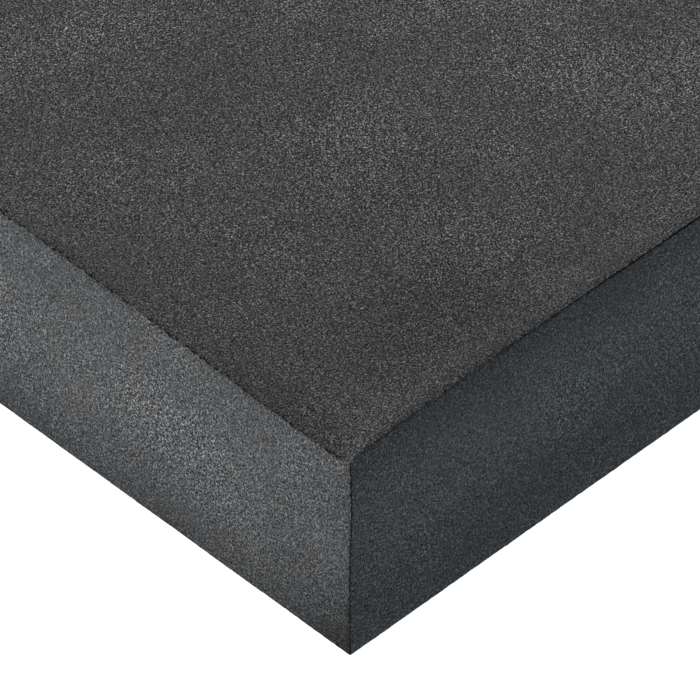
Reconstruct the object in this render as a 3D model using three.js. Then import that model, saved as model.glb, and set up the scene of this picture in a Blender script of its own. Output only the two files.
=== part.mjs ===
// A foam balance pad: a rectangular block of soft closed-cell foam with a thin sheet of
// firmer foam bonded to each of its six faces. The sheets are mitred where they meet, and a
// bead of black adhesive fills every mitre: one round the top, one round the bottom and one
// up each corner.
//
// Millimetres, +Z up. The origin is on the floor, under the middle of the pad. X runs along
// the pad's length and Y across it.

import * as THREE from 'three';
import { ConvexGeometry } from 'three/addons/geometries/ConvexGeometry.js';

// Driving dimensions
const LENGTH = 500;
const WIDTH = 410;
const THICKNESS = 60;
const SHEET_THICKNESS = 2;
const BEAD_WIDTH = 0.3; // across the mitre
const BEAD_RECESS = 0.25; // from the pad's edge to the bead, on each face
const CLEARANCE = 0.3; // between neighbouring pieces

// A quarter turn, which stands a sheet up as a side of the pad
const QUARTER_TURN = Math.PI / 2;

// Both sheets of a mitre keep clear of its bead. On a face, the slope of 45 degrees turns
// that distance into this one, from the pad's edge to the edge of the sheet.
const MITRE_INSET = (BEAD_WIDTH / 2 + CLEARANCE) * Math.SQRT2;

const faceFoam = new THREE.MeshStandardMaterial({ color: 0x4b4b4b, roughness: 0.92, metalness: 0 });
const sideFoam = new THREE.MeshStandardMaterial({ color: 0x484c4f, roughness: 0.92, metalness: 0 });
const coreFoam = new THREE.MeshStandardMaterial({ color: 0x3c3e40, roughness: 0.95, metalness: 0 });
const adhesive = new THREE.MeshStandardMaterial({ color: 0x141516, roughness: 0.7, metalness: 0 });

const pad = new THREE.Group();

function addPiece(name, geometry, material) {
  const piece = new THREE.Mesh(geometry, material);
  piece.name = name;
  pad.add(piece);
  return piece;
}

// Turns a section round the Z axis in four flat sides, as a mitred picture frame is made.
// Each point of the section is [distance in from the rectangle's edge, height].
function mitredRectangle(section, length, width) {
  const points = section.map(([inset, height]) => (
    new THREE.Vector2(Math.max(width / 2 - inset, 0) * Math.SQRT2, height)
  ));
  const rectangle = new THREE.LatheGeometry(points, 4, QUARTER_TURN / 2);
  rectangle.rotateX(QUARTER_TURN);
  // Four equal sides make a square, so its two ends are moved to the rectangle's length.
  const places = rectangle.attributes.position;
  for (let i = 0; i < places.count; i += 1) {
    const x = places.getX(i);
    places.setX(i, x + Math.sign(x) * (length - width) / 2);
  }
  return rectangle;
}

// The core is the pad less its sheets and the clearance behind them.
const coreInset = SHEET_THICKNESS + CLEARANCE;

function foamCore() {
  return new THREE.BoxGeometry(
    LENGTH - 2 * coreInset,
    WIDTH - 2 * coreInset,
    THICKNESS - 2 * coreInset,
  );
}

// A facing sheet lies with its outer face up, at height 0, and slopes in below it.
function facingSheet(length, width) {
  const middle = width / 2;
  const section = [
    [middle, -SHEET_THICKNESS],
    [MITRE_INSET + SHEET_THICKNESS, -SHEET_THICKNESS],
    [MITRE_INSET, 0],
    [middle, 0],
  ];
  return mitredRectangle(section, length, width);
}

// A bead is a thin strip from just inside the pad's edge to the back of the sheets, down the
// middle of the mitre. Each corner of its section is [distance from one face, from the other].
const beadLean = BEAD_WIDTH / 2 * Math.SQRT1_2;
const beadSection = [
  [BEAD_RECESS + beadLean, BEAD_RECESS - beadLean],
  [SHEET_THICKNESS + beadLean, SHEET_THICKNESS - beadLean],
  [SHEET_THICKNESS - beadLean, SHEET_THICKNESS + beadLean],
  [BEAD_RECESS - beadLean, BEAD_RECESS + beadLean],
];

// The bead round a broad face, with that face up at height 0
function rimBead() {
  const section = beadSection.map(([inset, depth]) => [inset, -depth]);
  section.push(section[0]);
  return mitredRectangle(section, LENGTH, WIDTH);
}

// The upright bead at one corner. Its ends slope, to keep clear of the beads round the rims.
function cornerBead(sideX, sideY) {
  const points = [];
  for (const [insetX, insetY] of beadSection) {
    const x = sideX * (LENGTH / 2 - insetX);
    const y = sideY * (WIDTH / 2 - insetY);
    const endDepth = (insetX + insetY) / 2 + MITRE_INSET + beadLean;
    points.push(new THREE.Vector3(x, y, endDepth));
    points.push(new THREE.Vector3(x, y, THICKNESS - endDepth));
  }
  return new ConvexGeometry(points);
}

// Core
addPiece('foam_core', foamCore(), coreFoam).position.z = THICKNESS / 2;

// Broad sheets
addPiece('top_sheet', facingSheet(LENGTH, WIDTH), faceFoam).position.z = THICKNESS;
addPiece('bottom_sheet', facingSheet(LENGTH, WIDTH), faceFoam).rotation.x = 2 * QUARTER_TURN;

// Long sides
for (const [name, side] of [['front', -1], ['back', 1]]) {
  const sheet = addPiece(`${name}_sheet`, facingSheet(LENGTH, THICKNESS), sideFoam);
  sheet.rotation.x = -side * QUARTER_TURN;
  sheet.position.set(0, side * WIDTH / 2, THICKNESS / 2);
}

// Short sides
for (const [name, side] of [['right', 1], ['left', -1]]) {
  const sheet = addPiece(`${name}_sheet`, facingSheet(THICKNESS, WIDTH), sideFoam);
  sheet.rotation.y = side * QUARTER_TURN;
  sheet.position.set(side * LENGTH / 2, 0, THICKNESS / 2);
}

// Beads round the rims
addPiece('top_rim_bead', rimBead(), adhesive).position.z = THICKNESS;
addPiece('bottom_rim_bead', rimBead(), adhesive).rotation.x = 2 * QUARTER_TURN;

// Beads up the corners
for (const [yName, sideY] of [['front', -1], ['back', 1]]) {
  for (const [xName, sideX] of [['right', 1], ['left', -1]]) {
    addPiece(`${yName}_${xName}_corner_bead`, cornerBead(sideX, sideY), adhesive);
  }
}

export default pad;
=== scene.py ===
"""A foam balance pad on a pale studio floor.

The pad is a soft foam block with a thin foam sheet bonded to each of its six faces. The
sheets are mitred where they meet, and black adhesive fills the mitres. Everything is in
metres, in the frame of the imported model, with the origin on the floor under the pad.
"""

import math

import bpy
import numpy as np
from bpy.props import FloatProperty, FloatVectorProperty, IntProperty, PointerProperty
from mathutils import Matrix, Vector
from mathutils.geometry import delaunay_2d_cdt


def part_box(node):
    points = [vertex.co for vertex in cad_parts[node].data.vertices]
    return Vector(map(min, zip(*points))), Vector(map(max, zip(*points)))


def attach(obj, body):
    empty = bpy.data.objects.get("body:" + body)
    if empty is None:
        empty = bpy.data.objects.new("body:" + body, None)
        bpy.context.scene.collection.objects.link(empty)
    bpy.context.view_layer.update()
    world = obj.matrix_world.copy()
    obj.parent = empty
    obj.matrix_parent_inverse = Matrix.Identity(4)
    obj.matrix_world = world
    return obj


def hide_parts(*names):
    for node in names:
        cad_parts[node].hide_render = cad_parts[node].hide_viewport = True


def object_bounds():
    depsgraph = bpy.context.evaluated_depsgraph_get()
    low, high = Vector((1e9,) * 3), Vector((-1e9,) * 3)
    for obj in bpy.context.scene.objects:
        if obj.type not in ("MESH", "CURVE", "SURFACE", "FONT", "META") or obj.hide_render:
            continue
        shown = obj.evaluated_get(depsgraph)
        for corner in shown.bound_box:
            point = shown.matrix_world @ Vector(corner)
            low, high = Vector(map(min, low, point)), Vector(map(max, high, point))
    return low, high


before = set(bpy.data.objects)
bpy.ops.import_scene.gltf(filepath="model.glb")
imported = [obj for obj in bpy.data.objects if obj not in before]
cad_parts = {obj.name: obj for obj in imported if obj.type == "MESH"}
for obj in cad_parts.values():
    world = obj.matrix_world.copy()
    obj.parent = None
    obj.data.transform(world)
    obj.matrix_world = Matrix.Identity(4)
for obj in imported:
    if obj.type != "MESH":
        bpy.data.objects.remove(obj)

bl_info = {
    "name": "Foam balance pad",
    "version": (1, 0, 0),
    "blender": (4, 5, 0),
    "location": "3D View > Sidebar > Balance Pad",
    "description": "Builds a faced foam balance pad and a studio stage round its packed frame",
    "category": "Object",
}

MM = 0.001
BODY = "root"
NOISE_MIDDLE = (0.5, 0.5, 0.5)
# Noise keeps near its middle, so its height is stretched to swing about as far as a depth says.
NOISE_STRETCH = 4.0

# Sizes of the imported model
CAD_LOW, CAD_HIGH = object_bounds()
LENGTH, WIDTH, THICKNESS = CAD_HIGH - CAD_LOW
TOP_LOW, TOP_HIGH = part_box("top_sheet")
SHEET_THICKNESS = TOP_HIGH.z - TOP_LOW.z
CORE_LOW, CORE_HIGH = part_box("foam_core")

# Each facing sheet: its CAD node, material slot, length, width, and the directions of its
# length, its width and its outer face
SHEETS = (
    ("top_sheet", "face_foam", LENGTH, WIDTH, (1, 0, 0), (0, 1, 0), (0, 0, 1)),
    ("bottom_sheet", "face_foam", LENGTH, WIDTH, (1, 0, 0), (0, -1, 0), (0, 0, -1)),
    ("front_sheet", "side_foam", LENGTH, THICKNESS, (1, 0, 0), (0, 0, 1), (0, -1, 0)),
    ("back_sheet", "side_foam", LENGTH, THICKNESS, (-1, 0, 0), (0, 0, 1), (0, 1, 0)),
    ("right_sheet", "side_foam", WIDTH, THICKNESS, (0, 1, 0), (0, 0, 1), (1, 0, 0)),
    ("left_sheet", "side_foam", WIDTH, THICKNESS, (0, -1, 0), (0, 0, 1), (-1, 0, 0)),
)
OUTWARD = {node.split("_")[0]: np.array(outward, float)
           for node, _, _, _, _, _, outward in SHEETS}

# The top edges of soft foam are never quite straight. Each wave is its mean height, how far
# it swings, its length along the edge, where it is highest, how far it reaches in over the
# top, how near the corner it dies away, and the share of it that is left there.
FRONT_EDGE_WAVE = (0.0, 1.25 * MM, 190 * MM, 95 * MM, 9 * MM, 3 * MM, 0.0)
RIGHT_EDGE_WAVE = (0.95 * MM, 0.55 * MM, 150 * MM, 38 * MM, 12 * MM, 4 * MM, 0.3)
BACK_EDGE_WAVE = (0.1 * MM, 0.6 * MM, 290 * MM, 60 * MM, 12 * MM, 3 * MM, 0.0)
LEFT_EDGE_WAVE = (0.0, 0.5 * MM, 230 * MM, 30 * MM, 12 * MM, 3 * MM, 0.0)

# The edges run straighter away from the front right corner: where along them the waves start
# to calm down, where they are calm, and the share of a wave that is left there.
CALM_EDGES = (105 * MM, 190 * MM, 0.25)

# The front right corner bows out a little below the top: how far in each direction, at what
# height, and how far the bow reaches up or down and in from the corner.
CORNER_BOW = (0.19 * MM, 44 * MM, 17 * MM, 14 * MM)

# How wide the joint between two sheets is at the surface, by the pad's edge. Each is a mean
# width, how far it swings, the length of its swing along the edge, and where it is tightest.
JOINT_GAPS = {
    ("front", "top"): (0.11 * MM, 0.05 * MM, 260 * MM, 140 * MM),
    ("right", "top"): (0.18 * MM, 0.17 * MM, 170 * MM, -178 * MM),
    ("front", "right"): (0.28 * MM, 0.055 * MM, 120 * MM, 0.0),
}
OTHER_GAP = (0.28 * MM, 0.04 * MM, 170 * MM, 0.0)

# Painted shade that changes the sides' tone from the floor to the top: the long sides darken
# towards the floor, and the short sides darken low down and under the top edge: (share of the
# height, tone)
LONG_SIDE_PAINTED_SHADE = ((0.0, 0.57), (0.04, 0.62), (0.11, 0.70), (0.21, 0.82), (0.35, 0.92),
                   (0.52, 1.0), (0.68, 1.0), (0.83, 0.92), (0.95, 0.99))
SHORT_SIDE_PAINTED_SHADE = ((0.0, 0.95), (0.04, 0.92), (0.11, 0.82), (0.21, 0.80), (0.35, 0.86),
                    (0.52, 0.99), (0.68, 1.0), (0.83, 0.89), (0.95, 0.75))

# Patches of painted shade and painted highlight: (middle, full within, gone beyond, tone)
# Painted shade on the top near the front right corner
TOP_CORNER_SHADE = ((LENGTH / 2 - 11 * MM, 48 * MM - WIDTH / 2, THICKNESS), 8 * MM, 36 * MM, 0.78)
# Painted highlight on the front side by the front right corner, part of the way down
CORNER_HIGHLIGHT = ((LENGTH / 2 - 5 * MM, -WIDTH / 2, THICKNESS - 29 * MM), 3 * MM, 13 * MM, 1.15)

# Soft clouds of tone in the foam, from a few millimetres to a hand's breadth:
# (pitch, detail, roughness, seed, strength)
CLOUDS = ((8 * MM, 2.0, 0.6, 3.0, 0.55), (26 * MM, 1.0, 0.5, 5.0, 0.55),
          (90 * MM, 1.0, 0.5, 8.0, 0.30))

# The side foam varies in tint: (tint, pitch of its patches, how much of it at most)
SIDE_TINTS = (((0.0440, 0.0527, 0.0522), 14 * MM, 0.5), ((0.0525, 0.0526, 0.0505), 11 * MM, 0.5))


# Property groups


class PadShape(bpy.types.PropertyGroup):
    """Sizes of the pad's edges, joints and foam"""

    joint_width: FloatProperty(
        name="Joint width", description="Width of the mitred joints inside the pad",
        default=0.4 * MM, min=0.0, unit="LENGTH")
    edge_radius: FloatProperty(
        name="Edge radius", description="How far the foam rounds over at the pad's edges",
        default=0.45 * MM, min=0.0, unit="LENGTH")
    edge_spacing: FloatProperty(
        name="Edge spacing", description="Distance between mesh points along the edges",
        default=0.5 * MM, min=0.1 * MM, unit="LENGTH")
    middle_spacing: FloatProperty(
        name="Middle spacing", description="Distance between mesh points away from the edges",
        default=3.2 * MM, min=0.5 * MM, unit="LENGTH")
    tear_depth: FloatProperty(
        name="Tear depth", description="Depth of the torn cells along a cut edge",
        default=0.44 * MM, min=0.0, unit="LENGTH")
    tear_reach: FloatProperty(
        name="Tear reach", description="How far the torn cells reach in from a cut edge",
        default=2.0 * MM, min=0.1 * MM, unit="LENGTH")
    dimple_depth: FloatProperty(
        name="Dimple depth", description="Depth of the shallow hollows all over the foam",
        default=0.09 * MM, min=0.0, unit="LENGTH")
    bead_width: FloatProperty(
        name="Bead width", description="Width of the adhesive bead in a mitre",
        default=0.34 * MM, min=0.0, unit="LENGTH")
    bead_recess: FloatProperty(
        name="Bead recess", description="How far the adhesive stays below the pad's edge",
        default=0.35 * MM, min=0.0, unit="LENGTH")
    seed: IntProperty(
        name="Seed", description="Changes the foam's random hollows and torn cells", default=7)


class PadFinish(bpy.types.PropertyGroup):
    """Colours and contrasts of the foam and the adhesive"""

    face_colour: FloatVectorProperty(
        name="Face colour", description="Colour of the top and bottom sheets",
        subtype="COLOR", default=(0.0327, 0.0330, 0.0331), min=0.0, max=1.0)
    side_colour: FloatVectorProperty(
        name="Side colour", description="Colour of the four side sheets",
        subtype="COLOR", default=(0.0480, 0.0537, 0.0571), min=0.0, max=1.0)
    core_colour: FloatVectorProperty(
        name="Core colour", description="Colour of the foam inside",
        subtype="COLOR", default=(0.042, 0.045, 0.047), min=0.0, max=1.0)
    adhesive_colour: FloatVectorProperty(
        name="Adhesive colour", description="Colour of the beads in the joints",
        subtype="COLOR", default=(0.006, 0.0065, 0.007), min=0.0, max=1.0)
    cell_size: FloatProperty(
        name="Cell size", description="Size of the cells in the facing foam",
        default=0.40 * MM, min=0.1 * MM, unit="LENGTH")
    grain_contrast: FloatProperty(
        name="Grain contrast", description="How much the cells vary in tone",
        default=1.0, min=0.0, max=4.0)
    cloud_contrast: FloatProperty(
        name="Cloud contrast", description="How much broad patches vary in tone",
        default=1.0, min=0.0, max=4.0)


class StudioStage(bpy.types.PropertyGroup):
    """Place of the camera and strength of the lights"""

    azimuth: FloatProperty(
        name="Azimuth", description="Direction that the camera stands in, from the front",
        subtype="ANGLE", default=math.radians(45.80))
    elevation: FloatProperty(
        name="Elevation", description="Height of the camera above the horizon",
        subtype="ANGLE", default=math.radians(44.33))
    roll: FloatProperty(
        name="Roll", description="Turn of the camera about its line of sight",
        subtype="ANGLE", default=math.radians(-0.43))
    distance: FloatProperty(
        name="Distance", description="Distance from the camera to what it aims at",
        default=3.6, unit="LENGTH")
    view_width: FloatProperty(
        name="View width", description="Width of the view at that distance",
        default=151.9 * MM, unit="LENGTH")
    aim_above_corner: FloatProperty(
        name="Aim above corner", description="How far above the near corner the view centres",
        default=24.4 * MM, unit="LENGTH")
    aim_beside_corner: FloatProperty(
        name="Aim beside corner", description="How far right of the near corner it centres",
        default=0.3 * MM, unit="LENGTH")
    key_power: FloatProperty(
        name="Key power", description="Power of the softbox at the front, in watts",
        default=25.5)
    overhead_power: FloatProperty(
        name="Overhead power", description="Power of the softbox above the back left corner, "
        "in watts", default=12.5)
    floor_glow: FloatProperty(
        name="Floor glow", description="Light that the lit floor gives off", default=1.0)
    sky_strength: FloatProperty(
        name="Sky strength", description="Strength of the even light from all round",
        default=0.2)


# Nodes


class Wire:
    """A node's output that Python's operators work on. Each operation adds a Math node."""

    def __init__(self, graph, socket):
        self.graph = graph
        self.socket = socket

    def math(self, operation, *values):
        """A Math node on this and other values."""
        numbers = dict(enumerate(values))
        return self.graph.node("ShaderNodeMath", {"operation": operation}, numbers)

    def __add__(self, other):
        return self.math("ADD", self, other)

    def __sub__(self, other):
        return self.math("SUBTRACT", self, other)

    def __rsub__(self, other):
        return self.math("SUBTRACT", other, self)

    def __mul__(self, other):
        return self.math("MULTIPLY", self, other)

    def __truediv__(self, other):
        return self.math("DIVIDE", self, other)

    def __rtruediv__(self, other):
        return self.math("DIVIDE", other, self)

    __radd__ = __add__
    __rmul__ = __mul__


class Graph:
    """A node tree under construction."""

    def __init__(self, tree):
        self.tree = tree
        tree.nodes.clear()

    def node(self, kind, settings=None, inputs=None, output=0):
        """Adds a node with its settings first and then its sockets, and returns one output."""
        made = self.tree.nodes.new(kind)
        for name, value in (settings or {}).items():
            if name == "stops":
                self.set_stops(made.color_ramp, value)
            else:
                setattr(made, name, value)
        for name, value in (inputs or {}).items():
            if isinstance(value, Wire):
                self.tree.links.new(value.socket, made.inputs[name])
            else:
                made.inputs[name].default_value = value
        return Wire(self, made.outputs[output]) if made.outputs else None

    @staticmethod
    def set_stops(ramp, stops):
        """Gives a ramp its (position, grey) stops."""
        while len(ramp.elements) < len(stops):
            ramp.elements.new(1.0)
        for element, (position, grey) in zip(ramp.elements, stops):
            element.position = position
            element.color = (grey, grey, grey, 1.0)

    def noise(self, vector, pitch, detail=0.0, roughness=0.5, seed=0.0, output=0):
        """Noise whose lumps are about pitch across, from 0 to 1."""
        return self.node(
            "ShaderNodeTexNoise", {"noise_dimensions": "4D"},
            {"Vector": vector, "W": seed, "Scale": 1 / pitch, "Detail": detail,
             "Roughness": roughness},
            output)

    def fade(self, value, start, end, at_start=0.0, at_end=1.0):
        """A smooth change from at_start to at_end as value goes from start to end."""
        return self.node(
            "ShaderNodeMapRange", {"interpolation_type": "SMOOTHSTEP"},
            {"Value": value, "From Min": start, "From Max": end,
             "To Min": at_start, "To Max": at_end})

    def scaled(self, vector, factor):
        """A vector or colour times a number."""
        return self.node("ShaderNodeVectorMath", {"operation": "SCALE"},
                         {0: vector, "Scale": factor})

    def vector(self, operation, first, second):
        """A Vector Math node on two vectors."""
        return self.node("ShaderNodeVectorMath", {"operation": operation}, {0: first, 1: second})

    def split(self, vector):
        """A vector's X, Y and Z."""
        first = self.node("ShaderNodeSeparateXYZ", {}, {0: vector})
        return tuple(Wire(self, socket) for socket in first.socket.node.outputs)

    def mixed(self, factor, first, second):
        """A colour between two colours."""
        colour_a, colour_b, colour_out = 6, 7, 2
        first, second = (colour if isinstance(colour, Wire) else (*colour, 1.0)
                         for colour in (first, second))
        return self.node("ShaderNodeMix", {"data_type": "RGBA"},
                         {0: factor, colour_a: first, colour_b: second}, colour_out)


# Meshes


def rectangle_loop(length, width, spacing):
    """Points once round a rectangle about its middle, anticlockwise from its low corner."""
    corners = np.array([(-1, -1), (1, -1), (1, 1), (-1, 1)]) * (length / 2, width / 2)
    sides = []
    for start, end in zip(corners, np.roll(corners, -1, axis=0)):
        count = max(1, round(float(np.linalg.norm(end - start)) / spacing))
        share = np.arange(count)[:, None] / count
        sides.append(start + (end - start) * share)
    return np.concatenate(sides)


def fill_loop(loop, inner):
    """Triangles that fill a loop of points, through the inner points, as (points, triangles).
    The loop's points come first and keep their order."""
    points = np.concatenate([loop, inner]) if len(inner) else loop
    edges = [(i, (i + 1) % len(loop)) for i in range(len(loop))]
    vectors = [Vector(p) for p in points]
    inside_only, tolerance, with_origins = 1, 1e-9, True
    found, _, faces, origins, _, _ = delaunay_2d_cdt(
        vectors, edges, [], inside_only, tolerance, with_origins)
    if len(found) != len(points):
        raise RuntimeError("two points of a sheet fell together")
    number = np.empty(len(found), int)
    for new, old in enumerate(origins):
        number[new] = old[0]
    return points, number[np.array([list(f) for f in faces])]


def sheet_rings(length, width, shape):
    """The rings of points that a sheet's outer face is made of, from its edge inwards, each as
    (inset from the pad's edge, depth below the outer face, points)."""
    radius = shape.edge_radius
    offset = shape.joint_width / 2 * math.sqrt(0.5)
    # The edge is an arc of 45 degrees, less half the joint.
    reach = math.radians(45) - math.asin(offset * math.sqrt(2) / radius)
    arc_steps = 4
    rings = []
    for step in range(arc_steps, -1, -1):
        angle = reach * step / arc_steps
        rings.append((radius * (1 - math.sin(angle)), radius * (1 - math.cos(angle))))
    # The points lie further apart towards the middle, in rows a little closer than along them.
    growth, row_share, middle_share = 0.22, 0.85, 0.6
    inset = radius
    while True:
        spacing = min(shape.middle_spacing, shape.edge_spacing + growth * inset)
        inset += row_share * spacing
        if inset > min(length, width) / 2 - middle_share * spacing:
            break
        rings.append((inset, 0.0))
    placed = []
    for inset, depth in rings:
        spacing = min(shape.middle_spacing,
                      shape.edge_spacing + growth * max(inset - radius, 0))
        loop = rectangle_loop(length - 2 * inset, width - 2 * inset, spacing)
        placed.append((inset, depth, loop))
    return placed


def facing_mesh(name, length, width, along, across, outward, shape):
    """A closed mesh of a mitred sheet, in its place on the pad. Its points hold how far they
    are from the pad's edge, and whether they are on the outer face."""
    rings = sheet_rings(length, width, shape)
    draw = np.random.default_rng(shape.seed)
    scatter, first_scattered = 0.25, 2 * shape.edge_radius
    inner = []
    for inset, _, loop in rings[1:]:
        loose = scatter * min(inset, shape.middle_spacing) if inset > first_scattered else 0
        inner.append(loop + draw.uniform(-loose, loose, loop.shape))
    edge_loop = rings[0][2]
    outer, outer_faces = fill_loop(edge_loop, np.concatenate(inner))
    insets = np.concatenate([np.full(len(loop), inset) for inset, _, loop in rings])
    depths = np.concatenate([np.full(len(loop), depth) for _, depth, loop in rings])

    # The mitre slopes in from the edge loop to the back, where the sheet meets the core.
    joint_shift = shape.joint_width * math.sqrt(0.5)
    back_inset = SHEET_THICKNESS + joint_shift
    shrink = np.array([(length - 2 * back_inset) / (length - 2 * rings[0][0]),
                       (width - 2 * back_inset) / (width - 2 * rings[0][0])])
    back_loop = edge_loop * shrink
    back_insets = np.arange(back_inset + 3 * MM, min(length, width) / 2 - 4 * MM, 9 * MM)
    back_middle = np.concatenate([
        rectangle_loop(length - 2 * inset, width - 2 * inset, 10 * MM)
        for inset in back_insets])
    back, back_faces = fill_loop(back_loop, back_middle)

    count, first_back = len(edge_loop), len(outer)
    ring = np.arange(count)
    after = (ring + 1) % count
    walls = np.concatenate([
        np.stack([after, ring, ring + first_back], axis=1),
        np.stack([after, ring + first_back, after + first_back], axis=1)])
    faces = np.concatenate([outer_faces, walls, back_faces[:, ::-1] + first_back])

    axes = np.array([along, across, outward], float)
    sheet = name.split("_")[0]
    flat = np.concatenate([outer, back])
    heights = np.concatenate([-depths, np.full(len(back), -SHEET_THICKNESS)])
    middle = np.array((CAD_LOW + CAD_HIGH) / 2)
    half = np.abs(np.array(outward, float)) @ np.array((CAD_HIGH - CAD_LOW) / 2)
    places = flat @ axes[:2] + (heights + half)[:, None] * axes[2] + middle
    places[:first_back] += joint_lean(outer, places[:first_back], insets, axes, length, width,
                                      sheet, shape)

    mesh = bpy.data.meshes.new(name)
    mesh.from_pydata(places.tolist(), [], faces.tolist())
    far = 100 * MM
    add_values(mesh, "edge_distance", np.concatenate([insets, np.full(len(back), far)]))
    add_values(mesh, "outer_face", np.concatenate([np.ones(len(outer)), np.zeros(len(back))]))
    return mesh


def joint_gap(sheet, neighbour, places):
    """How wide the joint between two sheets is, at places along it."""
    pair = tuple(sorted((sheet, neighbour)))
    mean, swing, wave, start = JOINT_GAPS.get(pair, OTHER_GAP)
    line = np.abs(np.cross(OUTWARD[sheet], OUTWARD[neighbour]))
    return mean - swing * np.cos(2 * math.pi * (places @ line - start) / wave)


def joint_lean(flat, places, insets, axes, length, width, sheet, shape):
    """How far a sheet's edge leans in over the adhesive, so that its joints narrow from their
    width inside the pad to their width at the surface."""
    lean = np.zeros_like(places)
    reach, tip = 3 * shape.edge_radius, insets.min()
    for axis, extent in ((0, length), (1, width)):
        for side in (-1, 1):
            direction = side * axes[axis]
            neighbour = next(side_name for side_name, outward in OUTWARD.items()
                             if np.allclose(outward, direction))
            from_side = extent / 2 - side * flat[:, axis]
            share = np.clip((reach - from_side) / (reach - tip), 0, 1) ** 2
            closed = (shape.joint_width - joint_gap(sheet, neighbour, places)) / 2
            lean += (share * closed)[:, None] * (direction - axes[2]) * math.sqrt(0.5)
    return lean


def block_mesh(name, low, high, spacing):
    """A closed box of small squares, with the same values on its points as a sheet has."""
    low, high = np.array(low), np.array(high)
    counts = np.maximum(np.round((high - low) / spacing).astype(int), 1)
    numbers, places, faces = {}, [], []

    def point(grid):
        """The number of the point at a place in the grid, made when it is first met."""
        if grid not in numbers:
            numbers[grid] = len(places)
            places.append(low + (high - low) * np.array(grid) / counts)
        return numbers[grid]

    for axis in range(3):
        u, v = (axis + 1) % 3, (axis + 2) % 3
        for end in (0, 1):
            for i in range(counts[u]):
                for j in range(counts[v]):
                    corners = []
                    for step_u, step_v in ((0, 0), (1, 0), (1, 1), (0, 1)):
                        grid = [0, 0, 0]
                        grid[axis] = int(end * counts[axis])
                        grid[u] = int(i + step_u)
                        grid[v] = int(j + step_v)
                        corners.append(point(tuple(grid)))
                    faces.append(corners if end else corners[::-1])
    mesh = bpy.data.meshes.new(name)
    mesh.from_pydata([p.tolist() for p in places], [], faces)
    places = np.array(places)
    gaps = np.sort(np.minimum(places - low, high - places), axis=1)
    add_values(mesh, "edge_distance", gaps[:, 1])
    add_values(mesh, "outer_face", np.ones(len(places)))
    return mesh


def path_mesh(name, places, outward, mitre, end_pull, closed):
    """A line of points for a bead to follow, with what the bead needs to know at each."""
    count = len(places)
    edges = [(i, (i + 1) % count) for i in range(count if closed else count - 1)]
    mesh = bpy.data.meshes.new(name)
    mesh.from_pydata(places.tolist(), edges, [])
    add_values(mesh, "mitre", mitre)
    for label, vectors in (("outward", outward), ("end_pull", end_pull)):
        attribute = mesh.attributes.new(label, "FLOAT_VECTOR", "POINT")
        attribute.data.foreach_set("vector", np.asarray(vectors, np.float32).ravel())
    return mesh


def add_values(mesh, name, values):
    """Keeps one number on each of a mesh's points."""
    attribute = mesh.attributes.new(name, "FLOAT", "POINT")
    attribute.data.foreach_set("value", np.asarray(values, np.float32))


# Foam relief


def edge_rise(graph, distance_along, distance_in, wave):
    """How far an edge's wave lifts the foam, at a place along the edge and in from it."""
    mean, swing, length, peak, reach, tip_reach, tip_share = wave
    calm_start, calm_end, calm_share = CALM_EDGES
    turn = (distance_along - peak) * (2 * math.pi / length)
    rise = turn.math("COSINE", turn) * swing + mean
    return (rise * graph.fade(distance_in, 0.0, reach, 1.0, 0.0)
            * graph.fade(distance_along, 0.0, tip_reach, tip_share, 1.0)
            * graph.fade(distance_along, calm_start, calm_end, 1.0, calm_share))


def settled(graph, position):
    """The offset of the pad's slow bends at a place: none at the floor, most at the top."""
    x, y, z = graph.split(position)
    front = y - CAD_LOW.y
    right = CAD_HIGH.x - x
    back = CAD_HIGH.y - y
    left = x - CAD_LOW.x
    rise = (edge_rise(graph, right, front, FRONT_EDGE_WAVE)
            + edge_rise(graph, front, right, RIGHT_EDGE_WAVE)
            + edge_rise(graph, right, back, BACK_EDGE_WAVE)
            + edge_rise(graph, front, left, LEFT_EDGE_WAVE))
    share = graph.fade(z, 0.0, THICKNESS)
    sway_pitch, sway_size = 90 * MM, (1.4 * MM, 1.4 * MM, 0.5 * MM)
    slow = graph.noise(position, sway_pitch, output="Color")
    sway = graph.vector("SUBTRACT", slow, NOISE_MIDDLE)
    sideways = graph.vector("MULTIPLY", sway, sway_size)
    size, level, half, reach = CORNER_BOW
    away = z - level
    bow = (graph.fade(away.math("ABSOLUTE", away), 0.0, half, size, 0.0)
           * graph.fade(right + front, 0.0, reach, 1.0, 0.0))
    offset = graph.node("ShaderNodeCombineXYZ", {}, {
        "X": bow, "Y": bow, "Z": rise * share})
    return graph.vector("ADD", offset, graph.scaled(sideways, share))


def start_tree(name, numbers):
    """A new geometry node tree that takes named numbers and a material, and the wires of what
    it is given."""
    tree = bpy.data.node_groups.new(name, "GeometryNodeTree")
    tree.interface.new_socket("Geometry", in_out="INPUT", socket_type="NodeSocketGeometry")
    for number in numbers:
        tree.interface.new_socket(number, in_out="INPUT", socket_type="NodeSocketFloat")
    tree.interface.new_socket("Material", in_out="INPUT", socket_type="NodeSocketMaterial")
    tree.interface.new_socket("Geometry", in_out="OUTPUT", socket_type="NodeSocketGeometry")
    graph = Graph(tree)
    group = graph.node("NodeGroupInput").socket.node
    given = {socket.name: Wire(graph, socket) for socket in group.outputs if socket.name}
    return tree, graph, given


def end_tree(graph, geometry, material):
    """Makes what a tree has built real, and gives it its material."""
    real = graph.node("GeometryNodeRealizeInstances", {}, {"Geometry": geometry})
    finished = graph.node("GeometryNodeSetMaterial", {}, {"Geometry": real, "Material": material})
    graph.node("NodeGroupOutput", {}, {"Geometry": finished})


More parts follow.
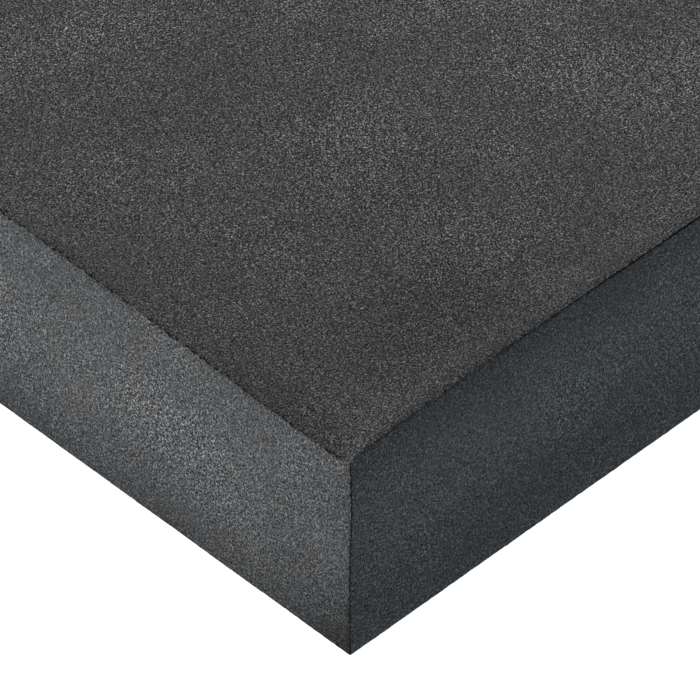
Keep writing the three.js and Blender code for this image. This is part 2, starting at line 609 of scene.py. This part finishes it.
def relief_tree():
    """Geometry nodes that turn a smooth, straight sheet into settled foam with torn edges."""
    tree, graph, given = start_tree("foam_relief", (
        "Tear Pitch", "Tear Depth", "Tear Reach", "Dimple Pitch", "Dimple Depth", "Seed"))
    position = graph.node("GeometryNodeInputPosition")
    normal = graph.node("GeometryNodeInputNormal")
    edge = read_value(graph, "edge_distance", "FLOAT")
    outer = read_value(graph, "outer_face", "FLOAT")

    torn = graph.noise(position, given["Tear Pitch"], 2.0, seed=given["Seed"], output="Color")
    torn = graph.vector("SUBTRACT", torn, NOISE_MIDDLE)
    # Most torn along the front and back top edges, and least at the floor
    edge_width, corner_width, floor_height = 6 * MM, 4 * MM, 4 * MM
    least_torn, floor_share = 0.3, 0.6
    across, along, height = graph.split(graph.vector("ABSOLUTE", position, (0.0, 0.0, 0.0)))
    torn_edge = (graph.fade(WIDTH / 2 - along, 2 * MM, edge_width, 1.0, 0.0)
                 * graph.fade(height, THICKNESS - edge_width, THICKNESS - 2 * MM)
                 * graph.fade(LENGTH / 2 - across, 1 * MM, corner_width))
    depth = given["Tear Depth"] * NOISE_STRETCH
    tear = (graph.fade(edge, 0.0, given["Tear Reach"], depth, 0.0) * outer
            * graph.fade(height, 0.0, floor_height, floor_share, 1.0)
            * (least_torn + torn_edge * (1.0 - least_torn)))
    dimple = graph.noise(position, given["Dimple Pitch"], 1.5, seed=given["Seed"])
    dimple = (dimple - 0.5) * NOISE_STRETCH * given["Dimple Depth"] * outer
    moved = graph.vector("ADD", graph.scaled(torn, tear), graph.scaled(normal, dimple))
    moved = graph.vector("ADD", moved, settled(graph, position))

    shaped = graph.node("GeometryNodeSetPosition", {},
                        {"Geometry": given["Geometry"], "Offset": moved})
    end_tree(graph, shaped, given["Material"])
    return tree


def bead_tree():
    """Geometry nodes that sweep a bead of adhesive along an edge of the pad. The path's points
    say which way is outward, how much a mitred corner stretches the bead, and which way its
    end is pulled back."""
    tree, graph, given = start_tree("adhesive_bead", (
        "Width", "Recess", "Depth", "Lump Pitch", "Lump Depth", "Seed"))
    path = graph.node("GeometryNodeStoreNamedAttribute", {"data_type": "FLOAT_VECTOR"}, {
        "Geometry": given["Geometry"], "Name": "path_place",
        "Value": graph.node("GeometryNodeInputPosition")})
    path = graph.node("GeometryNodeMeshToCurve", {}, {0: path})
    path = graph.node("GeometryNodeSetCurveNormal", {"mode": "FREE"}, {
        "Curve": path, "Normal": read_value(graph, "outward", "FLOAT_VECTOR")})

    # The bead's section lies along the mitre: square against the core, round at the surface
    lean = math.sqrt(0.5)
    deep = (given["Depth"] - given["Recess"]) / lean
    middle = (given["Depth"] + given["Recess"]) * -0.5
    section = graph.node("GeometryNodeCurvePrimitiveQuadrilateral", {},
                         {"Width": deep, "Height": given["Width"]})
    roundness = 0.48
    section = graph.node("GeometryNodeFilletCurve", {"mode": "POLY"}, {
        "Curve": section, "Count": 3, "Radius": given["Width"] * roundness})
    section = graph.node("GeometryNodeTransform", {}, {
        "Geometry": section, "Rotation": (0.0, 0.0, math.radians(45)),
        "Translation": graph.node("ShaderNodeCombineXYZ", {}, {"X": middle, "Y": middle})})
    bead = graph.node("GeometryNodeCurveToMesh", {}, {
        "Curve": path, "Profile Curve": section, "Fill Caps": True})

    position = graph.node("GeometryNodeInputPosition")
    start = read_value(graph, "path_place", "FLOAT_VECTOR")
    reach = graph.vector("SUBTRACT", position, start)
    inset = graph.node("ShaderNodeVectorMath", {"operation": "LENGTH"}, {0: reach}, "Value")
    mitre = read_value(graph, "mitre", "FLOAT")
    stretch = graph.node("ShaderNodeCombineXYZ", {}, {"X": mitre, "Y": mitre, "Z": 1.0})
    end_pull = graph.scaled(read_value(graph, "end_pull", "FLOAT_VECTOR"),
                            inset * lean + given["Width"])
    placed = graph.vector("ADD", start, graph.vector("MULTIPLY", reach, stretch))
    placed = graph.vector("ADD", placed, end_pull)
    lumps = graph.noise(placed, given["Lump Pitch"], 1.0, seed=given["Seed"])
    placed = graph.vector("ADD", placed, graph.scaled(
        graph.node("GeometryNodeInputNormal"),
        (lumps - 0.5) * NOISE_STRETCH * given["Lump Depth"]))
    placed = graph.vector("ADD", placed, settled(graph, placed))
    bead = graph.node("GeometryNodeSetPosition", {}, {"Geometry": bead, "Position": placed})
    end_tree(graph, bead, given["Material"])
    return tree


def read_value(graph, name, kind):
    """The value that a mesh's points hold under a name."""
    return graph.node("GeometryNodeInputNamedAttribute", {"data_type": kind}, {"Name": name})


def worked(mesh, tree, material, settings):
    """A new piece: the mesh with a tree's work done on it, as a plain mesh at the origin."""
    piece = bpy.data.objects.new(mesh.name, mesh)
    bpy.context.scene.collection.objects.link(piece)
    modifier = piece.modifiers.new("Work", "NODES")
    modifier.node_group = tree
    values = dict(settings, Material=material)
    for socket in tree.interface.items_tree:
        if socket.in_out == "INPUT" and socket.name in values:
            modifier[socket.identifier] = values[socket.name]
    bpy.context.view_layer.update()
    depsgraph = bpy.context.evaluated_depsgraph_get()
    shaped = bpy.data.meshes.new_from_object(piece.evaluated_get(depsgraph))
    piece.modifiers.remove(modifier)
    piece.data = shaped
    bpy.data.meshes.remove(mesh)
    shaped.name = piece.name
    shaped.shade_smooth()
    sharpest_smooth_angle = math.radians(50)
    shaped.set_sharp_from_angle(angle=sharpest_smooth_angle)
    return piece


def hand_over(piece, node, slot):
    """Puts a finished piece in the place of its CAD node."""
    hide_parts(node)
    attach(piece, BODY)


# Materials


def new_material(name):
    """A new material, and its graph with nothing in it yet."""
    material = bpy.data.materials.new(name)
    material.use_nodes = True
    return material, Graph(material.node_tree)


def finish_material(graph, colour, roughness, normal, specular):
    """Adds the shader and the output that end a material's graph."""
    shader = graph.node("ShaderNodeBsdfPrincipled", {}, {
        "Base Color": colour, "Roughness": roughness, "Normal": normal,
        "Specular IOR Level": specular})
    graph.node("ShaderNodeOutputMaterial", {}, {"Surface": shader})


def foam_grain(graph, place, cell_size):
    """The height of the foam's cells, either side of zero: pale walls round dark hollows, over
    a finer crumb."""
    crumb_size, crumb_strength = 0.85 * cell_size, 2.2
    wall_middle, wall_strength = 0.47, 0.9
    walls = graph.node("ShaderNodeTexVoronoi", {"feature": "F1"},
                       {"Vector": place, "Scale": 1 / cell_size, "Randomness": 1.0},
                       "Distance")
    crumb = graph.noise(place, crumb_size, 2.0, 0.6)
    return (crumb - 0.5) * crumb_strength + (walls - wall_middle) * wall_strength


def foam_scuffs(graph, place):
    """How pale the foam's faint scuffs are: thin stretched streaks, only in places."""
    stretch, streak_width, patch_size, strength = (1.0, 0.08, 1.0), 2.2 * MM, 45 * MM, 0.10
    streaks = graph.noise(graph.vector("MULTIPLY", place, stretch), streak_width, 1.0, 0.5,
                          11.0)
    where = graph.fade(graph.noise(place, patch_size, 0.0, 0.5, 13.0), 0.52, 0.7)
    return graph.fade(streaks, 0.62, 0.75) * where * strength


def corner_light_and_shade(graph, tone, place, shade_strength):
    """A tone with a painted highlight at the tips of the pad's top corners, and painted shade by
    the corners, most where they stand on the floor and in a patch part of the way up."""
    tip_reach, tip_highlight = 3.5 * MM, 1.35
    edge_reach, edge_share = 24 * MM, 0.17
    floor_reach, climb = 22 * MM, 1.2
    low_shade_height, low_shade_reach, low_shade_share = 20 * MM, 42 * MM, 0.4
    _, _, height = graph.split(place)
    x, y, _ = graph.split(graph.vector("ABSOLUTE", place, (0.0, 0.0, 0.0)))
    from_corner = (LENGTH / 2 - x) + (WIDTH / 2 - y)
    # Painted highlight at the tips of the top corners
    tone = tone * graph.fade(from_corner + (THICKNESS - height), 0.5 * MM, tip_reach,
                             tip_highlight, 1.0)
    if shade_strength:
        # Painted shade along the vertical corner, at its foot on the floor, and in a patch part
        # of the way up
        tone = tone * graph.fade(from_corner, 0.0, edge_reach, 1.0 - edge_share * shade_strength, 1.0)
        tone = tone * graph.fade(from_corner + height * climb, 3 * MM, floor_reach,
                                 1.0 - shade_strength, 1.0)
        from_low_shade = graph.node("ShaderNodeCombineXYZ", {}, {
            "X": from_corner, "Y": height - low_shade_height})
        from_low_shade = graph.node("ShaderNodeVectorMath", {"operation": "LENGTH"},
                                 {0: from_low_shade}, "Value")
        tone = tone * graph.fade(from_low_shade, 10 * MM, low_shade_reach,
                                 1.0 - low_shade_share * shade_strength, 1.0)
    return tone


def foam_material(name, colour, finish, cell_size, contrast, cloudiness=1.0, tints=(),
                  painted_height_shade=(), corner_shade_strength=0.0, shade_and_highlight_patches=()):
    """Matt foam: a fine grain of cells, soft clouds of tone, grain worn flatter along the edges,
    and painted shade and painted highlights at the edges and corners.
    """
    material, graph = new_material(name)
    place = graph.node("ShaderNodeTexCoord", {}, {}, "Object")
    # The grain's pattern is turned, so that no face cuts along its grid.
    turned = graph.node("ShaderNodeVectorRotate", {"rotation_type": "EULER_XYZ"},
                        {"Vector": place, "Rotation": (0.6, 0.4, 0.9)})
    grain = foam_grain(graph, turned, cell_size)

    # Handling rubs the cells flat in places, and most along the edges
    worn_width, worn_grain, worn_clouds = 40 * MM, 0.74, 0.6
    edge = graph.node("ShaderNodeAttribute", {"attribute_name": "edge_distance"}, {}, "Fac")
    rubbed = graph.fade(graph.noise(place, 30 * MM, 1.0, 0.5, 31.0), 0.35, 0.65, 0.8, 1.1)
    rubbed = rubbed * graph.fade(edge, 0.0, worn_width, worn_grain, 1.0)
    sharpness, lowest_swell = 2.5, 0.15
    swell = 1.0 + grain * rubbed * (contrast * finish.grain_contrast / sharpness)
    tone = swell.math("POWER", swell.math("MAXIMUM", swell, lowest_swell), sharpness)

    clouds = sum((graph.noise(place, pitch, detail, roughness, seed) - 0.5) * strength
                 for pitch, detail, roughness, seed, strength in CLOUDS) * cloudiness
    clouds = clouds * graph.fade(edge, 0.0, worn_width, worn_clouds, 1.0)
    mean_tone = 0.95
    tone = tone * (mean_tone + clouds * finish.cloud_contrast + foam_scuffs(graph, place))

    # Painted shade in the pits of torn cells right at the edges, and a band of painted shade
    # along them
    pit_size, pit_reach, pit_shade = 0.9 * MM, 1.6 * MM, 0.5
    band_width, band_shade = 9 * MM, 0.9
    pits = graph.fade(graph.noise(turned, pit_size, 1.0, 0.5, 17.0), 0.5, 0.62)
    tone = tone * (1.0 - pits * graph.fade(edge, 0.1 * MM, pit_reach, pit_shade, 0.0))
    tone = tone * graph.fade(edge, 0.0, band_width, band_shade, 1.0)
    # Painted shade up the sides, darker or lighter by height
    if painted_height_shade:
        _, _, height = graph.split(place)
        tone = tone * graph.node("ShaderNodeValToRGB", {"stops": painted_height_shade},
                                 {0: height / THICKNESS})
    tone = corner_light_and_shade(graph, tone, place, corner_shade_strength)
    # Patches of painted shade and painted highlight
    for centre, start, end, shade in shade_and_highlight_patches:
        away = graph.node("ShaderNodeVectorMath", {"operation": "DISTANCE"},
                          {0: place, 1: centre}, "Value")
        tone = tone * graph.fade(away, start, end, shade, 1.0)

    tinted = tuple(colour)
    first_tint_seed = 20.0
    for number, (tint, pitch, most) in enumerate(tints):
        patches = graph.noise(place, pitch, 1.0, 0.5, first_tint_seed + number)
        tinted = graph.mixed(graph.fade(patches, 0.5, 0.72, 0.0, most), tinted, tint)
    bump = graph.node("ShaderNodeBump", {}, {"Strength": 0.6, "Distance": 0.07 * MM,
                                             "Height": grain})
    roughness, specular = 0.93 - grain * 0.08, 0.12
    finish_material(graph, graph.scaled(tinted, tone), roughness, bump, specular)
    return material


def adhesive_material(name, colour):
    """Dull black adhesive with a slightly uneven skin."""
    material, graph = new_material(name)
    place = graph.node("ShaderNodeTexCoord", {}, {}, "Object")
    lump_size = 1.1 * MM
    lumps = graph.noise(place, lump_size, 2.0)
    shown = graph.scaled(tuple(colour), 0.7 + lumps * 0.6)
    bump = graph.node("ShaderNodeBump", {}, {"Strength": 0.4, "Distance": 0.1 * MM,
                                             "Height": lumps})
    finish_material(graph, shown, 0.5 + lumps * 0.2, bump, 0.4)
    return material


# Operators


class PAD_OT_core(bpy.types.Operator):
    """Builds the soft foam block inside the pad"""

    bl_idname = "balance_pad.core"
    bl_label = "Foam core"

    def execute(self, context):
        shape, finish = context.scene.pad_shape, context.scene.pad_finish
        cell_size, contrast, spacing = 1.1 * MM, 2.0, 4 * MM
        material = foam_material("inner_foam", finish.core_colour, finish, cell_size, contrast)
        mesh = block_mesh("core", CORE_LOW, CORE_HIGH, spacing)
        core = worked(mesh, relief_tree(), material, {
            "Tear Pitch": 3 * MM, "Tear Depth": 0.1 * MM, "Tear Reach": 6 * MM,
            "Dimple Pitch": 12 * MM, "Dimple Depth": 0.06 * MM, "Seed": float(shape.seed)})
        hand_over(core, "foam_core", "core_foam")
        return {"FINISHED"}


class PAD_OT_sheets(bpy.types.Operator):
    """Builds the six facing sheets, with torn cells along their mitred edges"""

    bl_idname = "balance_pad.sheets"
    bl_label = "Facing sheets"

    def execute(self, context):
        shape, finish = context.scene.pad_shape, context.scene.pad_finish
        face_cells, side_cells = finish.cell_size, 1.25 * finish.cell_size
        materials = {
            "face_foam": foam_material(
                "facing_foam", finish.face_colour, finish, face_cells, contrast=5.5,
                cloudiness=0.60, shade_and_highlight_patches=(TOP_CORNER_SHADE,)),
            # The long and short sides are lit and shaded copies of one foam: the short sides'
            # lower grain contrast is painted shade
            "long_side": foam_material(
                "long_side_foam", finish.side_colour, finish, side_cells, contrast=4.1,
                cloudiness=0.22, tints=SIDE_TINTS, painted_height_shade=LONG_SIDE_PAINTED_SHADE,
                corner_shade_strength=0.45, shade_and_highlight_patches=(CORNER_HIGHLIGHT,)),
            "short_side": foam_material(
                "short_side_foam", finish.side_colour, finish, side_cells, contrast=3.4,
                cloudiness=0.5, tints=SIDE_TINTS, painted_height_shade=SHORT_SIDE_PAINTED_SHADE),
        }
        tree = relief_tree()
        for number, (node, slot, length, width, along, across, outward) in enumerate(SHEETS):
            name = node.replace("_sheet", "_facing")
            mesh = facing_mesh(name, length, width, along, across, outward, shape)
            kind = slot if slot == "face_foam" else (
                "long_side" if length == LENGTH else "short_side")
            piece = worked(mesh, tree, materials[kind], {
                "Tear Pitch": 1.3 * MM, "Tear Depth": shape.tear_depth,
                "Tear Reach": shape.tear_reach, "Dimple Pitch": 9 * MM,
                "Dimple Depth": shape.dimple_depth, "Seed": float(shape.seed + number)})
            hand_over(piece, node, slot)
        return {"FINISHED"}


class PAD_OT_beads(bpy.types.Operator):
    """Builds the adhesive beads round both rims and up the four corners"""

    bl_idname = "balance_pad.beads"
    bl_label = "Adhesive beads"

    def execute(self, context):
        shape, finish = context.scene.pad_shape, context.scene.pad_finish
        material = adhesive_material("black_adhesive", finish.adhesive_colour)
        tree = bead_tree()
        for node, path in (*self.rim_paths(), *self.corner_paths()):
            bead = worked(path, tree, material, {
                "Width": shape.bead_width, "Recess": shape.bead_recess,
                "Depth": SHEET_THICKNESS, "Lump Pitch": 1.6 * MM, "Lump Depth": 0.03 * MM,
                "Seed": float(shape.seed)})
            hand_over(bead, node, "edge_adhesive")
        return {"FINISHED"}

    @staticmethod
    def rim_paths():
        """The CAD node and the path of each rim's bead, round the pad's top or bottom edge."""
        spacing = 1.5 * MM
        loop = rectangle_loop(LENGTH, WIDTH, spacing)
        at_x_end = np.isclose(np.abs(loop[:, 0]), LENGTH / 2)
        at_y_end = np.isclose(np.abs(loop[:, 1]), WIDTH / 2)
        outward = np.zeros((len(loop), 3))
        outward[:, 0] = np.sign(loop[:, 0]) * at_x_end
        outward[:, 1] = np.sign(loop[:, 1]) * at_y_end
        mitre = np.linalg.norm(outward, axis=1)
        outward /= mitre[:, None]
        for name, level, direction in (("top_rim", CAD_HIGH.z, -1), ("bottom_rim", CAD_LOW.z, 1)):
            places = np.column_stack([loop, np.full(len(loop), level)])
            yield f"{name}_bead", path_mesh(
                f"{name}_adhesive", places[::direction], outward[::direction],
                mitre[::direction], np.zeros_like(places), True)

    @staticmethod
    def corner_paths():
        """The CAD node and the path of each corner's bead, up the pad's vertical edge."""
        point_count = 41
        heights = np.linspace(CAD_LOW.z, CAD_HIGH.z, point_count)
        ones = np.ones_like(heights)
        pull = np.column_stack([0 * ones, 0 * ones, np.linspace(1, -1, len(heights))])
        for y_name, side_y in (("front", -1), ("back", 1)):
            for x_name, side_x in (("right", 1), ("left", -1)):
                name = f"{y_name}_{x_name}_corner"
                places = np.column_stack([ones * side_x * LENGTH / 2,
                                          ones * side_y * WIDTH / 2, heights])
                outward = np.column_stack([ones * side_x, 0 * ones, 0 * ones])
                # The path runs down where that brings the section to the pad's inside.
                direction = side_x * side_y
                yield f"{name}_bead", path_mesh(
                    f"{name}_adhesive", places[::direction], outward, ones,
                    pull[::direction], False)


class PAD_OT_stage(bpy.types.Operator):
    """Builds the floor, the softboxes and the camera"""

    bl_idname = "balance_pad.stage"
    bl_label = "Studio stage"

    def execute(self, context):
        stage = context.scene.studio_stage
        self.add_floor(stage)
        self.add_sky(context.scene, stage)
        near_corner = Vector((CAD_HIGH.x, CAD_LOW.y, CAD_HIGH.z))
        softbox_size, warm, white = 0.5, (1.0, 0.878, 0.818), (1.0, 1.0, 1.0)
        key_place = near_corner + Vector((-0.56, -1.44, 0.27))
        overhead_place = Vector((-0.3, 0.4, 0.5))
        self.add_softbox("key_softbox", key_place, near_corner, softbox_size,
                         stage.key_power, warm)
        self.add_softbox("overhead_softbox", overhead_place, near_corner, softbox_size,
                         stage.overhead_power, white)
        self.add_camera(context.scene, stage, near_corner)
        context.scene.view_settings.view_transform = "Standard"
        return {"FINISHED"}

    @staticmethod
    def add_floor(stage):
        """A wide pale floor just under the pad, bright as if lit all over."""
        half, clearance = 4.0, 0.3 * MM
        mesh = bpy.data.meshes.new("floor")
        mesh.from_pydata([(-half, -half, 0), (half, -half, 0), (half, half, 0), (-half, half, 0)],
                         [], [(0, 1, 2, 3)])
        material, graph = new_material("pale_floor")
        shader = graph.node("ShaderNodeBsdfPrincipled", {}, {
            "Base Color": (0.3, 0.3, 0.3, 1.0), "Roughness": 0.9, "Specular IOR Level": 0.1,
            "Emission Color": (1.0, 1.04, 1.09, 1.0), "Emission Strength": stage.floor_glow})
        graph.node("ShaderNodeOutputMaterial", {}, {"Surface": shader})
        mesh.materials.append(material)
        floor = bpy.data.objects.new("floor", mesh)
        floor.location.z = CAD_LOW.z - clearance
        bpy.context.scene.collection.objects.link(floor)

    @staticmethod
    def add_sky(scene, stage):
        """An even light from all round."""
        scene.world = bpy.data.worlds.new("studio_sky")
        scene.world.use_nodes = True
        graph = Graph(scene.world.node_tree)
        sky = graph.node("ShaderNodeBackground", {}, {
            "Color": (0.93, 1.0, 1.08, 1.0), "Strength": stage.sky_strength})
        graph.node("ShaderNodeOutputWorld", {}, {"Surface": sky})

    @staticmethod
    def add_softbox(name, place, target, size, power, colour):
        """A round softbox that faces a target and isn't seen itself."""
        light = bpy.data.lights.new(name, "AREA")
        light.shape = "DISK"
        light.size = size
        light.energy = power
        light.color = colour
        softbox = bpy.data.objects.new(name, light)
        softbox.location = place
        softbox.rotation_euler = (target - place).to_track_quat("-Z", "Y").to_euler()
        softbox.visible_camera = False
        bpy.context.scene.collection.objects.link(softbox)

    @staticmethod
    def add_camera(scene, stage, near_corner):
        """A camera that looks down on the front right corner."""
        azimuth, elevation, roll = stage.azimuth, stage.elevation, stage.roll
        back = Vector((math.sin(azimuth) * math.cos(elevation),
                       -math.cos(azimuth) * math.cos(elevation), math.sin(elevation)))
        level = Vector((math.cos(azimuth), math.sin(azimuth), 0.0))
        upright = back.cross(level)
        right = math.cos(roll) * level + math.sin(roll) * upright
        up = back.cross(right)
        aim = near_corner + right * stage.aim_beside_corner + up * stage.aim_above_corner
        lens = bpy.data.cameras.new("studio_camera")
        lens.sensor_width = 36.0
        lens.lens = lens.sensor_width * stage.distance / stage.view_width
        lens.clip_start, lens.clip_end = 0.1, 50.0
        camera = bpy.data.objects.new("studio_camera", lens)
        camera.matrix_world = (Matrix.Translation(aim + back * stage.distance)
                               @ Matrix((right, up, back)).transposed().to_4x4())
        scene.collection.objects.link(camera)
        scene.camera = camera


class PAD_PT_panel(bpy.types.Panel):
    """Lists the pad's sizes, finishes and build steps"""

    bl_idname = "PAD_PT_panel"
    bl_label = "Balance Pad"
    bl_space_type = "VIEW_3D"
    bl_region_type = "UI"
    bl_category = "Balance Pad"

    def draw(self, context):
        for group in (context.scene.pad_shape, context.scene.pad_finish,
                      context.scene.studio_stage):
            box = self.layout.box()
            for name in group.bl_rna.properties.keys():
                if name not in ("rna_type", "name"):
                    box.prop(group, name)
        for operator in OPERATORS:
            self.layout.operator(operator.bl_idname)


GROUPS = (
    ("pad_shape", PadShape),
    ("pad_finish", PadFinish),
    ("studio_stage", StudioStage),
)
OPERATORS = (PAD_OT_stage, PAD_OT_core, PAD_OT_sheets, PAD_OT_beads)


def register():
    """Adds the pad's settings, operators and panel to Blender."""
    for name, group in GROUPS:
        bpy.utils.register_class(group)
        setattr(bpy.types.Scene, name, PointerProperty(type=group))
    for kind in (*OPERATORS, PAD_PT_panel):
        bpy.utils.register_class(kind)


def unregister():
    """Takes them away again."""
    for kind in (PAD_PT_panel, *reversed(OPERATORS)):
        bpy.utils.unregister_class(kind)
    for name, group in reversed(GROUPS):
        delattr(bpy.types.Scene, name)
        bpy.utils.unregister_class(group)


def main():
    """Builds the stage and the pad."""
    register()
    bpy.ops.balance_pad.stage()
    bpy.ops.balance_pad.core()
    bpy.ops.balance_pad.sheets()
    bpy.ops.balance_pad.beads()


if __name__ == "__main__":
    main()
